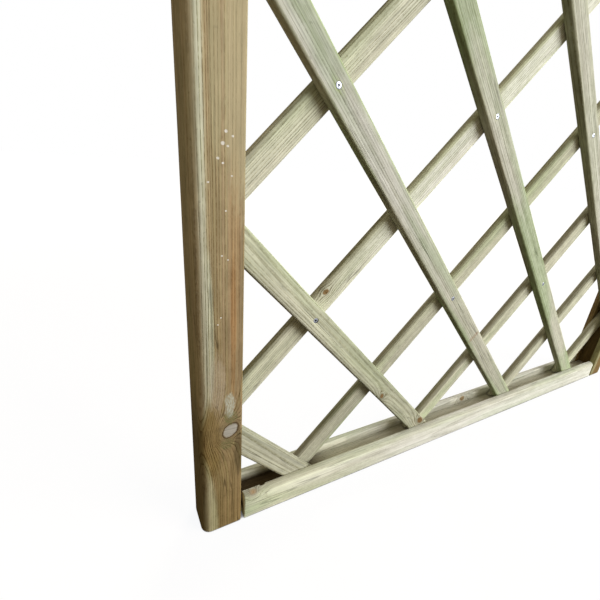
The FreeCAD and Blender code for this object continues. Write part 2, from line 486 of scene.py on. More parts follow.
def solid_places(node, apart):
    """Middles (x, z) of a node's separate bodies, which all lie square to the panel."""
    bodies = []
    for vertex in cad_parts[node].data.vertices:
        spot = Vector((vertex.co.x, vertex.co.z))
        for body in bodies:
            if (body[0] - spot).length < apart:
                body.append(spot)
                break
        else:
            bodies.append([spot])
    middles = []
    for body in bodies:
        xs, zs = zip(*body)
        middles.append(((min(xs) + max(xs)) / 2, (min(zs) + max(zs)) / 2))
    return sorted(middles, key=lambda p: (round(p[1], 4), p[0]))


def sink_pockets(board, places, surface, inward, radius, depths):
    """Cuts a countersunk pocket at each place (x, z); surface is the face's y, inward +1 or -1 along Y."""
    cutters = []
    for (x, z), depth in zip(places, depths):
        outside = surface - inward * POCKET_LIP
        height = depth + POCKET_LIP
        cutters.append(disc("pocket", radius, height, (x, outside + inward * height / 2, z)))
        draw_out(inward, (POCKET_POINT,))
        close_edit()
    if cutters:
        cut_away(board, join(cutters, "pockets"))


# Materials

NO_VECTOR = (0.0, 0.0, 0.0)
HALF = (0.5, 0.5, 0.5)
WHITE = (1.0, 1.0, 1.0, 1.0)


class Net:
    """A node tree being filled: links the inputs that are sockets and sets those that are values."""

    def __init__(self, tree):
        self.tree = tree

    def feed(self, socket, value):
        if isinstance(value, bpy.types.NodeSocket):
            self.tree.links.new(value, socket)
        elif value is not None:
            socket.default_value = value

    def node(self, kind, inputs, **settings):
        made = self.tree.nodes.new(kind)
        count = len(self.tree.nodes)
        made.location = (count % 10 * 190, count // 10 * -240)
        for name, value in settings.items():
            setattr(made, name, value)
        for key, value in inputs.items():
            self.feed(made.inputs[key], value)
        return made.outputs

    def math(self, operation, a, b=None):
        return self.node("ShaderNodeMath", {0: a, 1: b}, operation=operation)[0]

    def chain(self, operation, values):
        result = values[0]
        for value in values[1:]:
            result = self.math(operation, result, value)
        return result

    def times(self, *values):
        return self.chain("MULTIPLY", values)

    def plus(self, *values):
        return self.chain("ADD", values)

    def most(self, *values):
        return self.chain("MAXIMUM", values)

    def minus(self, a, b):
        return self.math("SUBTRACT", a, b)

    def share(self, a, b):
        return self.math("DIVIDE", a, b)

    def vector(self, operation, a, b=None):
        out = self.node("ShaderNodeVectorMath", {0: a, 1: b}, operation=operation)
        return out[1] if operation == "LENGTH" else out[0]

    def scale(self, a, factor):
        return self.node("ShaderNodeVectorMath", {0: a, "Scale": factor}, operation="SCALE")[0]

    def split(self, a):
        return self.node("ShaderNodeSeparateXYZ", {0: a})[:3]

    def merge(self, x, y, z):
        return self.node("ShaderNodeCombineXYZ", {0: x, 1: y, 2: z})[0]

    def mix(self, factor, a, b, way="MIX"):
        return self.node("ShaderNodeMix", {0: factor, 6: a, 7: b}, data_type="RGBA", blend_type=way)[2]

    def ease(self, value, low, high, first=0.0, last=1.0):
        """Goes smoothly from first at low to last at high."""
        inputs = {"Value": value, "From Min": low, "From Max": high, "To Min": first, "To Max": last}
        return self.node("ShaderNodeMapRange", inputs, interpolation_type="SMOOTHSTEP")[0]

    def noise(self, vector, spread, detail=2.0, rough=0.5):
        """Noise whose cells are 1 / spread long on each axis: factor and colour."""
        spot = self.vector("MULTIPLY", vector, spread)
        inputs = {"Vector": spot, "Scale": 1.0, "Detail": detail, "Roughness": rough}
        return self.node("ShaderNodeTexNoise", inputs)

    def hue(self, colour, **inputs):
        return self.node("ShaderNodeHueSaturation", {"Color": colour, **inputs})[0]

    def attribute(self, name, output="Fac"):
        return self.node("ShaderNodeAttribute", {}, attribute_name=name, attribute_type="GEOMETRY")[output]

    def coordinates(self, kind):
        return self.node("ShaderNodeTexCoord", {})[kind]

    def use(self, group, *inputs):
        return self.node("ShaderNodeGroup", dict(enumerate(inputs)), node_tree=group)


def shared_group(name, inputs, outputs, fill):
    """The node group of that name; fill(net, *inputs) gives its outputs when it is first made."""
    tree = bpy.data.node_groups.get(name)
    if tree is None:
        tree = bpy.data.node_groups.new(name, "ShaderNodeTree")
        for label, kind, value in inputs:
            socket = tree.interface.new_socket(name=label, in_out="INPUT", socket_type="NodeSocket" + kind)
            socket.default_value = value
        for label, kind in outputs:
            tree.interface.new_socket(name=label, in_out="OUTPUT", socket_type="NodeSocket" + kind)
        net = Net(tree)
        given = tree.nodes.new("NodeGroupInput").outputs
        taken = tree.nodes.new("NodeGroupOutput").inputs
        for socket, value in zip(taken, fill(net, *given[:len(inputs)])):
            net.feed(socket, value)
    return tree


KNOT_OUTPUTS = (("Grain", "Vector"), ("Core", "Float"), ("Rim", "Float"), ("Swirl", "Float"))
# Length and width of the piece of board that may hold one scattered knot
KNOT_LENGTH = 0.33
KNOT_WIDTH = 0.11


def knot_group():
    inputs = (
        ("Grain", "Vector", NO_VECTOR), ("Centre", "Vector", NO_VECTOR), ("Size", "Float", 0.006),
        ("Depth", "Float", 1.0), ("Tilt", "Float", 0.0),
    )
    return shared_group("Knot", inputs, KNOT_OUTPUTS, fill_knot)


def fill_knot(net, grain, centre, size, depth, tilt):
    """One knot: the grain flows round it and climbs towards it, and it has a core and a dark rim."""
    away = net.vector("SUBTRACT", grain, centre)
    turned = net.node("ShaderNodeVectorRotate", {"Vector": away, "Angle": tilt}, rotation_type="Z_AXIS")[0]
    x, y, z = net.split(turned)
    deep = net.share(net.times(z, size), depth)
    reach = net.vector("LENGTH", net.merge(net.times(x, 0.74), y, deep))
    ragged = net.minus(net.noise(grain, (260.0, 260.0, 260.0))[0], 0.5)
    ring = net.plus(net.share(reach, size), net.times(ragged, 0.3))
    core = net.ease(ring, 0.7, 1.04, 1.0, 0.0)
    rim = net.times(net.ease(ring, 0.84, 0.99), net.ease(ring, 1.0, 1.16, 1.0, 0.0))
    swirl = net.ease(ring, 1.0, 4.5, 1.0, 0.0)
    near = net.ease(ring, 3.5, 8.0, 0.92, 0.0)
    near = net.share(near, net.math("POWER", net.most(ring, 1.0), 1.5))
    aside = net.times(net.split(away)[1], near)
    climb = net.times(net.split(grain)[2], near, 0.2)
    return net.vector("SUBTRACT", grain, net.merge(0.0, aside, climb)), core, rim, swirl


def scattered_knots_group():
    inputs = (("Grain", "Vector", NO_VECTOR), ("Share", "Float", 0.4), ("Size", "Float", 0.005))
    return shared_group("Scattered knots", inputs, KNOT_OUTPUTS, fill_scattered_knots)


def fill_scattered_knots(net, grain, share, size):
    """Small knots here and there along a board, a share of the places getting one."""
    x, y, z = net.split(grain)
    spot = net.merge(net.share(x, KNOT_LENGTH), net.share(y, KNOT_WIDTH), 0.0)
    cell = net.node("ShaderNodeTexVoronoi", {"Vector": spot, "Scale": 1.0}, voronoi_dimensions="2D")
    chance = net.split(cell[1])
    middle = net.split(cell[2])
    there = net.math("LESS_THAN", chance[0], share)
    radius = net.most(net.times(size, net.plus(chance[1], 0.5), there), 1e-5)
    centre = net.merge(net.times(middle[0], KNOT_LENGTH), net.times(middle[1], KNOT_WIDTH), z)
    return net.use(knot_group(), grain, centre, radius, 1.0, net.times(chance[2], 1.5))[:4]


def rings_group():
    inputs = (("Grain", "Vector", NO_VECTOR), ("Ring width", "Float", 0.002), ("Waver", "Float", 0.012))
    labels = ("Late", "Fibre", "Streak", "Crack", "Vigour", "Radius")
    return shared_group("Pine rings", inputs, [(label, "Float") for label in labels], fill_rings)


def fill_rings(net, grain, width, waver):
    """Growth rings about the pith, with the fibres, streaks and drying cracks along them."""
    bent = net.vector("SUBTRACT", net.noise(grain, (2.2, 9.0, 9.0))[1], HALF)
    _, y, z = net.split(net.vector("ADD", grain, net.scale(bent, waver)))
    radius = net.vector("LENGTH", net.merge(0.0, y, z))
    years = net.share(radius, width)
    slow = {"W": years, "Scale": 0.45, "Detail": 1.0}
    season = net.node("ShaderNodeTexNoise", slow, noise_dimensions="1D")[0]
    phase = net.plus(years, net.times(season, 0.9))
    part = net.math("FRACT", phase)
    year = {"W": net.math("FLOOR", phase)}
    vigour = net.node("ShaderNodeTexWhiteNoise", year, noise_dimensions="1D")[0]
    grit = net.noise(grain, (300.0, 640.0, 640.0), 1.0)[0]
    late = net.times(
        net.ease(part, 0.4, 0.85), net.ease(part, 0.88, 1.0, 1.0, 0.0),
        net.ease(vigour, 0.0, 1.0, 0.5, 1.0), net.ease(grit, 0.35, 0.62, 0.55, 1.1),
    )
    fibre = net.noise(grain, (18.0, 900.0, 900.0), 3.0, 0.6)[0]
    blotch = net.times(net.noise(grain, (70.0, 170.0, 170.0))[0], 0.45)
    streak = net.plus(net.times(net.noise(grain, (2.6, 130.0, 130.0))[0], 0.55), blotch)
    line = net.math("ABSOLUTE", net.minus(net.noise(grain, (3.5, 120.0, 120.0), 1.0)[0], 0.5))
    open_here = net.ease(net.noise(grain, (9.0, 45.0, 45.0), 1.0)[0], 0.5, 0.62)
    crack = net.times(net.ease(line, 0.002, 0.016, 1.0, 0.0), open_here)
    return late, fibre, streak, crack, vigour, radius


def colour_group():
    floats = (
        "Late", "Fibre", "Streak", "Crack", "Vigour", "Heart", "Core", "Rim", "Swirl", "Arris", "Groove",
        "End grain",
    )
    tints = ("Sapwood", "Sapwood lines", "Heartwood", "Heartwood lines", "Treatment", "Knot", "Knot rim")
    inputs = [(label, "Float", 0.0) for label in floats]
    inputs += [("Grain", "Vector", NO_VECTOR), ("Character", "Vector", NO_VECTOR)]
    inputs += [(label, "Color", (*HALF, 1.0)) for label in tints]
    outputs = (("Colour", "Color"), ("Roughness", "Float"), ("Relief", "Float"))
    return shared_group("Pine colour", inputs, outputs, fill_colour)


def fill_colour(
    net, late, fibre, streak, crack, vigour, heart, core, rim, swirl, arris, groove, ends,
    grain, character, sap, sap_late, heartwood, heart_late, green, knot, bark,
):
    """Colour, roughness and relief from the rings, the heart, the knots and how the face was worked."""
    green_share, grey_share, bright = net.split(character)
    late_colour = net.mix(heart, sap_late, heart_late)
    late_colour = net.mix(net.times(swirl, 0.45), late_colour, bark)
    plain = net.times(late, net.ease(swirl, 0.0, 1.0, 0.8, 1.6))
    colour = net.mix(plain, net.mix(heart, sap, heartwood), late_colour)
    colour = net.hue(colour, Hue=net.ease(vigour, 0.0, 1.0, 0.494, 0.509))
    patch = net.noise(grain, (4.0, 30.0, 30.0), 3.0)[0]
    greenish = net.times(net.ease(patch, 0.36, 0.66), net.ease(heart, 0.0, 1.0, 1.0, 0.4), green_share)
    colour = net.mix(greenish, colour, green, "MULTIPLY")
    greyed = net.times(net.ease(streak, 0.2, 0.7, 0.5, 1.0), net.minus(1.0, arris), grey_share)
    colour = net.hue(colour, Saturation=net.ease(greyed, 0.0, 1.0, 1.0, 0.3))
    tone = net.plus(net.ease(streak, 0.36, 0.64, 0.83, 1.07), net.ease(fibre, 0.3, 0.75, 0.10, -0.20))
    specks = net.noise(grain, (300.0, 460.0, 460.0), 0.0)[0]
    tone = net.times(
        tone, net.ease(patch, 0.3, 0.7, 0.93, 1.05), net.ease(arris, 0.0, 1.0, 1.0, 1.06),
        net.ease(specks, 0.74, 0.84, 1.0, 0.8), net.ease(crack, 0.0, 1.0, 1.0, 0.66), bright,
    )
    colour = net.scale(colour, tone)
    colour = net.mix(net.times(swirl, 0.1), colour, net.mix(0.5, late_colour, knot))
    heart_rings = net.math("FRACT", net.times(net.noise(grain, (90.0, 90.0, 90.0), 1.0)[0], 7.0))
    checks = net.ease(net.noise(grain, (700.0, 420.0, 420.0), 1.0)[0], 0.62, 0.7, 1.0, 0.5)
    knotted = net.scale(knot, net.times(checks, net.ease(heart_rings, 0.0, 1.0, 0.8, 1.15)))
    colour = net.mix(core, colour, knotted)
    colour = net.mix(rim, colour, bark)
    # Painted shade and dirt darken the groove with its depth
    shade_and_dirt = (0.11, 0.08, 0.055, 1.0)
    colour = net.mix(net.ease(groove, 0.05, 1.0), colour, shade_and_dirt, "MULTIPLY")
    colour = net.scale(colour, net.ease(ends, 0.0, 1.0, 1.0, 0.66))
    rough = net.plus(net.ease(fibre, 0.2, 0.8, 0.66, 0.86), net.times(late, -0.08))
    relief = net.plus(net.times(late, 0.55), net.times(fibre, 0.6))
    return colour, rough, net.minus(relief, net.plus(rim, crack))


def new_material(name):
    """An empty node material with its output and shader."""
    material = bpy.data.materials.new(name)
    material.use_nodes = True
    tree = material.node_tree
    tree.nodes.clear()
    shader = tree.nodes.new("ShaderNodeBsdfPrincipled")
    output = tree.nodes.new("ShaderNodeOutputMaterial")
    tree.links.new(shader.outputs[0], output.inputs["Surface"])
    return material, Net(tree), shader


def solid_colour(value):
    return (*value, 1.0)


def spot_mask(net, laid, centre, half, ragged):
    """1 inside a soft ragged ellipse on the board, 0 outside."""
    apart = net.vector("DIVIDE", net.vector("SUBTRACT", laid, centre), half)
    return net.ease(net.vector("LENGTH", net.vector("ADD", apart, ragged)), 0.6, 1.05, 1.0, 0.0)


def pine(
    name, ring_width, waver, heart_radius, knots=(), share=0.0, wedges=(), stains=(), marks=(), damp=None,
    knot=None, rim=0.5, lines=1.0,
):
    """Pressure-treated pine.

    knots are (place in the grain, size, depth, tilt).
    share is how many of the scattered places have a knot.
    wedges are (place, half sizes, share of heart) where the heart differs from its ring; on the left
    stile's side this is partly painted shade.
    stains are (place, half sizes, share of the colour that stays); one on the left stile's side is painted
    shade.
    marks are (place, half sizes, colour, strength, raggedness).
    damp is the place along the grain of a foot that has darkened.
    knot is the colour of the knots, and rim is how dark their rims are.
    lines is how plain the ring lines are.
    """
    c = colours()
    material, net, shader = new_material(name)
    laid = net.attribute("grain", "Vector")
    grain = laid
    found = []
    for centre, size, depth, tilt in knots:
        found.append(net.use(knot_group(), grain, centre, size, depth, tilt))
        grain = found[-1][0]
    if share > 0.0:
        found.append(net.use(scattered_knots_group(), grain, share, 0.0045))
        grain = found[-1][0]
    core, ring, swirl = (net.most(*(out[index] for out in found)) if found else 0.0 for index in (1, 2, 3))
    if found:
        ring = net.times(ring, rim)
    late, fibre, streak, crack, vigour, radius = net.use(rings_group(), grain, ring_width, waver)[:6]
    late = net.times(late, lines)
    streak = net.plus(net.times(streak, lines), 0.5 - 0.5 * lines)
    edge = net.plus(radius, net.times(net.minus(streak, 0.5), 0.003))
    heart = net.ease(edge, heart_radius - 0.0012, heart_radius + 0.0012, 1.0, 0.0)
    ragged = net.vector("SUBTRACT", net.noise(laid, (150.0, 520.0, 520.0), 3.0)[1], HALF)
    for centre, half, inside in wedges:
        mask = spot_mask(net, grain, centre, half, net.scale(ragged, 0.2))
        heart = net.plus(net.times(heart, net.minus(1.0, mask)), net.times(mask, inside))
    timbers = (c.sapwood, c.sap_late, c.heartwood, c.heart_late, c.treatment, knot or c.knot, c.knot_rim)
    colour, roughness, relief = net.use(
        colour_group(), late, fibre, streak, crack, vigour, heart, core, ring, swirl,
        net.attribute("arris"), net.attribute("groove"), net.attribute("end_grain"),
        grain, net.attribute("character", "Vector"), *(solid_colour(value) for value in timbers),
    )[:3]
    if damp is not None:
        wet = net.ease(net.split(laid)[0], damp - 0.1, damp + 0.5, 1.0, 0.0)
        colour = net.mix(wet, colour, solid_colour(c.damp), "MULTIPLY")
    for centre, half, stays in stains:
        mask = spot_mask(net, laid, centre, half, net.scale(ragged, 0.4))
        colour = net.mix(mask, colour, solid_colour(stays), "MULTIPLY")
    lace = net.noise(laid, (330.0, 900.0, 900.0))[0]
    for centre, half, tone, strength, rough in marks:
        mask = spot_mask(net, laid, centre, half, net.scale(ragged, rough))
        broken = net.ease(lace, 0.38, 0.6, strength * min(1.0, 1.4 - rough), strength)
        colour = net.mix(net.times(mask, broken), colour, solid_colour(tone))
    net.feed(shader.inputs["Base Color"], colour)
    net.feed(shader.inputs["Roughness"], roughness)
    bump = net.node("ShaderNodeBump", {"Strength": 0.6, "Distance": 0.0005, "Height": relief})
    net.feed(shader.inputs["Normal"], bump[0])
    shader.inputs["Specular IOR Level"].default_value = 0.0
    return material


def metal(name, colour, roughness, dull):
    """Plated steel with a mottled, lightly stained surface, and grime with painted shade where the piece
    has any.
    """
    material, net, shader = new_material(name)
    grime = net.ease(net.attribute("grime"), 0.0, 1.0)
    here = net.coordinates("Object")
    crystals = net.node("ShaderNodeTexVoronoi", {"Vector": here, "Scale": 900.0})[1]
    stain = net.noise(here, (350.0, 350.0, 350.0), 4.0, 0.6)[0]
    tarnish = net.ease(stain, 0.5, 0.72, 0.0, dull)
    shade = net.ease(net.split(crystals)[0], 0.0, 1.0)
    plate = net.mix(shade, solid_colour([0.84 * value for value in colour]), solid_colour(colour))
    plate = net.mix(tarnish, plate, solid_colour(tint(96, 86, 72)))
    net.feed(shader.inputs["Base Color"], net.mix(grime, plate, solid_colour(tint(54, 53, 50))))
    net.feed(shader.inputs["Roughness"], net.ease(stain, 0.3, 0.7, roughness, roughness + 0.2))
    net.feed(shader.inputs["Metallic"], net.ease(net.most(tarnish, grime), 0.0, 1.0, 1.0, 0.3))
    bump = net.node("ShaderNodeBump", {"Strength": 0.3, "Distance": 0.0001, "Height": stain})
    net.feed(shader.inputs["Normal"], bump[0])
    return material


# Pieces


class TRELLIS_OT_stiles(Operator):
    """Models the two grooved uprights"""

    bl_idname = "trellis.stiles"
    bl_label = "Stiles"

    # Places on the left stile's front (x, z), half length, half width, and what stays of the colour
    stains = (
        (-0.4400, 0.1250, 0.055, 0.0140, (0.87, 0.83, 0.68)),
        (-0.4155, 0.2500, 0.090, 0.0030, (1.00, 0.87, 0.77)),
        (-0.4145, 0.3200, 0.110, 0.0060, (0.98, 0.90, 0.82)),
        (-0.4085, 0.1050, 0.035, 0.0070, (0.56, 0.58, 0.57)),
        (-0.4070, 0.2800, 0.090, 0.0050, (0.88, 0.89, 0.88)),
    )
    # The same, with a colour, its strength and its raggedness: bloom, pale wood, moss and a grey scrape
    marks = (
        (-0.4310, 0.1950, 0.035, 0.0100, tint(190, 178, 160), 0.40, 0.8),
        (-0.4100, 0.4600, 0.120, 0.0160, tint(190, 184, 150), 0.45, 0.5),
        (-0.4290, 0.4500, 0.070, 0.0050, tint(190, 184, 150), 0.40, 0.5),
        (-0.4425, 0.0250, 0.050, 0.0070, tint(190, 184, 150), 0.22, 0.4),
        (-0.4180, 0.1540, 0.010, 0.0080, tint(104, 112, 70), 0.6, 1.1),
        (-0.4220, 0.1210, 0.008, 0.0100, tint(104, 112, 70), 0.4, 1.1),
        (-0.4188, 0.1690, 0.016, 0.0060, tint(186, 190, 176), 0.8, 1.0),
    )
    # White flecks: x, z and half length in millimetres
    flecks = (
        (-0.4216, 0.4161, 1.28), (-0.4163, 0.4132, 0.96), (-0.4240, 0.4078, 1.52), (-0.4202, 0.4061, 1.04),
        (-0.4279, 0.3972, 1.20), (-0.4241, 0.3939, 0.96), (-0.4357, 0.3798, 0.88), (-0.4170, 0.3850, 0.80),
        (-0.4219, 0.3584, 0.80), (-0.4255, 0.3218, 0.88), (-0.4204, 0.3181, 0.72), (-0.4269, 0.2657, 0.72),
        (-0.4297, 0.2592, 0.72),
    )
    # How far the heart reaches from the pith
    heart = 0.0932

    def execute(self, context):
        s = sizes()
        outer = -half_width
        inner = outer + s.stile_width
        pins = solid_places("frame_pins", PIN_APART)
        for side, node in ((-1, "left_stile"), (1, "right_stile")):
            name = node + "_board"
            stile = straight_board(name, outer, inner, s.stile_top, s.outer_round, s.inner_round, cuts=109)
            ease_ends(lambda e: on_end_rim(e, s.stile_top), s.sawn_ease)
            close_edit()
            if side > 0:
                place(stile, (0.0, 0.0, math.pi), (0.0, 0.0, 0.0))
            planed(stile)
            mine = [p for p in pins if p[0] * side > 0]
            depths = [PIN_POCKET] * len(mine)
            sink_pockets(stile, mine, s.frame_depth / 2, -1, s.pin_head + PIN_PLAY, depths)
            smooth(stile)
            middle = (side * (half_width - s.stile_width / 2), 0.0, 0.0)
            foot = 3.0 + side
            board = board_frame(middle, (0.0, 0.0, 1.0), (1.0, 0.0, 0.0), (0.045, 0.052), foot)

            # Depth in the groove, which sets the painted shade and dirt there
            def depth(p):
                deep = (abs(p.x) - half_width + s.stile_width) / s.groove_depth
                return GROOVE_SHADE_AND_DIRT * deep * (abs(p.y) < s.groove_width / 2 + GROOVE_SLACK and deep < 1.05)

            lay_grain(stile, board, lambda p: (0.45, 0.2, 1.0), depth)
            timber = self.right_timber(foot) if side > 0 else self.left_timber(board, foot)
            finish_piece(stile, node, timber)
        return {"FINISHED"}

    def right_timber(self, foot):
        return pine("treated_pine_right_stile", 0.00135, 0.008, self.heart, share=0.35, damp=foot)

    def left_timber(self, board, foot):
        """Timber with the knot, the sapwood, the stains and the marks that the photograph shows, and
        painted shade on the left face.
        """
        at = on_face(board, -sizes().frame_depth / 2)
        side_middle = board @ Vector((-half_width, 0.0, 0.5))
        side_foot = board @ Vector((-half_width, 0.0, 0.0))
        knots = [(at(-0.4183, 0.1375), 0.0073, 1.0, -0.68)]
        wedges = [
            (at(-0.4410, -0.010), (0.10, 0.0105, 0.012), 0.0),
            (at(-0.4375, 0.250), (0.09, 0.0048, 0.020), 0.0),
            # Heartwood over the left face and its rounding, laid there partly as painted shade
            (side_middle, (9.0, 0.0084, 0.100), 0.75),
        ]
        # Painted shade that darkens and greys the foot of the left face and its rounding
        stains = [(side_foot, (0.200, 0.0074, 0.1), (0.65, 0.66, 0.67))]
        for x, z, length, width, stays in self.stains:
            stains.append((at(x, z), (length, width, SKIN), stays))
        marks = [(at(x, z), (length, width, SKIN), *look) for x, z, length, width, *look in self.marks]
        white = tint(228, 226, 220)
        for x, z, size in self.flecks:
            half = size / 1000
            marks.append((at(x, z), (half, half * 1.2, 0.004), white, 0.85, 0.4))
        return pine(
            "treated_pine_left_stile", 0.0012, 0.005, self.heart, knots=knots, wedges=wedges, stains=stains,
            marks=marks, damp=foot, knot=tint(194, 195, 198), rim=0.75,
        )


class TRELLIS_OT_rail(Operator):
    """Models the grooved foot rail with its stub tenons and its chipped lip"""

    bl_idname = "trellis.rail"
    bl_label = "Foot rail"

    def execute(self, context):
        s = sizes()
        shoulder = half_width - s.stile_width - s.shoulder_gap
        length = 2 * shoulder
        # What lies further out is the end face
        end_face = shoulder - 0.001
        floor = s.rail_height - s.groove_depth
        half_groove = s.groove_width / 2
        rail = straight_board(
            "bottom_rail_board", 0.0, s.rail_height, length, s.foot_round, s.rail_round, cuts=79
        )
        for height, way in ((0.0, -1), (length, 1)):

            def under_groove(face):
                middle = face.calc_center_median()
                below = abs(middle.y) < half_groove and middle.x < floor
                return below and abs(face.normal.z) > 0.9 and abs(middle.z - height) < SAME

            pick("faces", under_groove)
            push((0.0, 0.0, way * (rail_high.x - shoulder)))
            bpy.ops.transform.resize(value=(1.0, TENON_FIT, 1.0))

        def on_shoulder(edge):
            above_foot = all(v.co.x > s.foot_round for v in edge.verts)
            beside_tenon = any(abs(v.co.y) > half_groove + s.lip_ease for v in edge.verts)
            return above_foot and beside_tenon and on_end_rim(edge, length)

        ease_ends(on_shoulder, s.end_round, 3)
        close_edit()
        place(rail, (0.0, -math.pi / 2, 0.0), (shoulder, 0.0, 0.0))
        planed(rail)
        self.chip(rail)
        smooth(rail)
        board = board_frame((0.0, 0.0, 0.0), (1.0, 0.0, 0.0), (0.0, 0.0, 1.0), (0.010, 0.075), 9.0)

        def in_groove(p):
            return abs(p.y) < half_groove + GROOVE_SLACK and p.z > floor - GROOVE_SLACK

        def depth(p):
            # Painted shade and dirt in the groove, strongest towards the left end
            shade_and_dirt = min(max((-0.22 - p.x) / 0.10, 0.45), 0.95)
            return shade_and_dirt * in_groove(p) * (s.rail_height - p.z) / s.groove_depth

        def character(p):
            rightward = ramp(p.x, -0.36, -0.14)
            if in_groove(p):
                return 0.1, 0.3 + 0.5 * rightward, 1.05
            # The end faces are brightened as painted light
            if abs(p.x) > end_face:
                return 0.3, 0.1, 1.7
            # The top of the lip is darkened as painted shade
            upward = ramp(p.z, 0.028, 0.033)
            near_end = ramp(p.x, -0.36, -0.40)
            return 0.7, 0.3 + 0.6 * rightward, 1.3 * (1.0 - 0.4 * upward) * (1.0 - 0.25 * near_end)

        lay_grain(rail, board, character, depth, worked=0.3)
        finish_piece(rail, "bottom_rail", self.timber(board))
        return {"FINISHED"}

    def timber(self, board):
        """Timber with a knot in the front lip and one in the back wall of the groove."""
        s = sizes()
        lip = on_face(board, 0.005 - s.frame_depth / 2)
        wall = on_face(board, s.groove_width / 2)
        knots = [
            (lip(-0.3895, 0.0315), 0.0024, 0.003, 0.0),
            (wall(0.0172, 0.0270), 0.0055, 0.004, 0.6),
        ]
        marks = [
            (lip(-0.3895, 0.0320), (0.0060, 0.0040, 0.004), tint(156, 132, 100), 0.6, 0.6),
            (wall(0.0172, 0.0270), (0.0080, 0.0045, 0.005), tint(96, 80, 54), 0.6, 0.9),
        ]
        return pine(
            "treated_pine_rail", 0.0020, 0.012, 0.02, knots=knots, marks=marks, knot=tint(164, 144, 112),
            rim=0.0, lines=0.55,
        )

    def chip(self, rail):
        """Tears a bite out of the inner edge of the front lip near its left end."""
        s = sizes()
        bite = start(bpy.ops.mesh.primitive_ico_sphere_add, "chip", subdivisions=4, radius=1.0)
        bpy.ops.transform.resize(value=(0.0036, 0.0028, 0.0034))
        bpy.ops.transform.translate(value=(-0.3764, -s.groove_width / 2, s.rail_height))
        close_edit()
        texture = bpy.data.textures.new("torn", "CLOUDS")
        texture.noise_scale = 0.0016
        apply_modifier(bite, "DISPLACE", texture=texture, strength=0.0018, mid_level=0.5)
        cut_away(rail, bite)


class TRELLIS_OT_arch(Operator):
    """Models the three curved segments of the top rail"""

    bl_idname = "trellis.arch"
    bl_label = "Arch"

    def execute(self, context):
        s = sizes()
        inner_half = half_width - s.stile_width
        radius, centre_height = arch_circle()
        centre = Vector((0.0, 0.0, centre_height))
        half_angle = math.asin(inner_half / radius)
        mouth = radius - s.arch_height
        nodes = sorted(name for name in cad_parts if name.startswith("arch_segment_"))
        step = 2 * half_angle / len(nodes)
        # The outer segments start longer, so that the plumb cut has something to take off
        spare = 0.2
        timber = pine("treated_pine_arch", 0.0024, 0.014, 0.02, share=0.4)
        for index, node in enumerate(nodes):
            side = (index == len(nodes) - 1) - (index == 0)
            first = index * step - half_angle - (spare if side < 0 else 0.0)
            last = (index + 1) * step - half_angle + (spare if side > 0 else 0.0)
            segment = grooved_profile(node + "_board", radius, mouth, s.outer_round, s.inner_round)
            bpy.ops.object.mode_set(mode="OBJECT")
            place(segment, (0.0, first - math.pi / 2, 0.0), centre)
            edit(segment)
            bpy.ops.mesh.spin(steps=36, angle=last - first, center=centre, axis=(0.0, -1.0, 0.0))
            close_edit()
            if side:
                self.foot(segment, side, inner_half - s.shoulder_gap, s.stile_top)
            planed(segment)
            smooth(segment)
            middle = (index + 0.5) * step - half_angle
            across = Vector((math.sin(middle), 0.0, math.cos(middle)))
            along = Vector((math.cos(middle), 0.0, -math.sin(middle)))
            origin = centre + across * (radius - s.arch_height / 2)
            pith = (0.035 - 0.05 * index, 0.05)
            board = board_frame(origin, along, across, pith, 14.0 + 2.7 * index)

            # Depth in the groove, which sets the painted shade and dirt there
            def depth(p):
                deep = ((p - centre).xz.length - mouth) / s.groove_depth
                walled = abs(p.y) < s.groove_width / 2 + GROOVE_SLACK
                return GROOVE_SHADE_AND_DIRT * deep * (walled and deep < 1.0 + GROOVE_SLACK / s.groove_depth)

            lay_grain(segment, board, lambda p: (0.4, 0.2, 1.0), depth)
            finish_piece(segment, node, timber)
        return {"FINISHED"}

    def foot(self, segment, side, shoulder, top):
        """Cuts the foot plumb and draws its stub tenon into the stile's groove."""
        cheek = sizes().groove_width / 2 * TENON_FIT
        reach = side * rail_high.x
        # How near a point lies to a plane that it is on
        near = 1e-5
        # The tenon's toe drops to the floor of the arch's own groove
        toe, drop = 0.004, 0.018
        edit(segment)
        cut((side * shoulder, 0.0, 0.0), (side, 0.0, 0.0), trim=True)
        cut((0.0, cheek, 0.0), (0.0, 1.0, 0.0))
        cut((0.0, -cheek, 0.0), (0.0, 1.0, 0.0))
        cut((0.0, 0.0, top), (0.0, 0.0, 1.0))

        def between_cheeks(face):
            middle = face.calc_center_median()
            plumb = face.normal.x * side > 0.95 and abs(middle.x - side * shoulder) < near
            return plumb and abs(middle.y) < cheek and middle.z < top

        pick("faces", between_cheeks)
        push((side * (rail_high.x - shoulder), 0.0, 0.0))
        ends = [v.co.z for v in bmesh.from_edit_mesh(segment.data).verts if abs(v.co.x - reach) < near]
        pick("verts", lambda v: abs(v.co.x - reach) < near and v.co.z < min(ends) + toe)
        bpy.ops.transform.translate(value=(0.0, 0.0, -drop))
        close_edit()


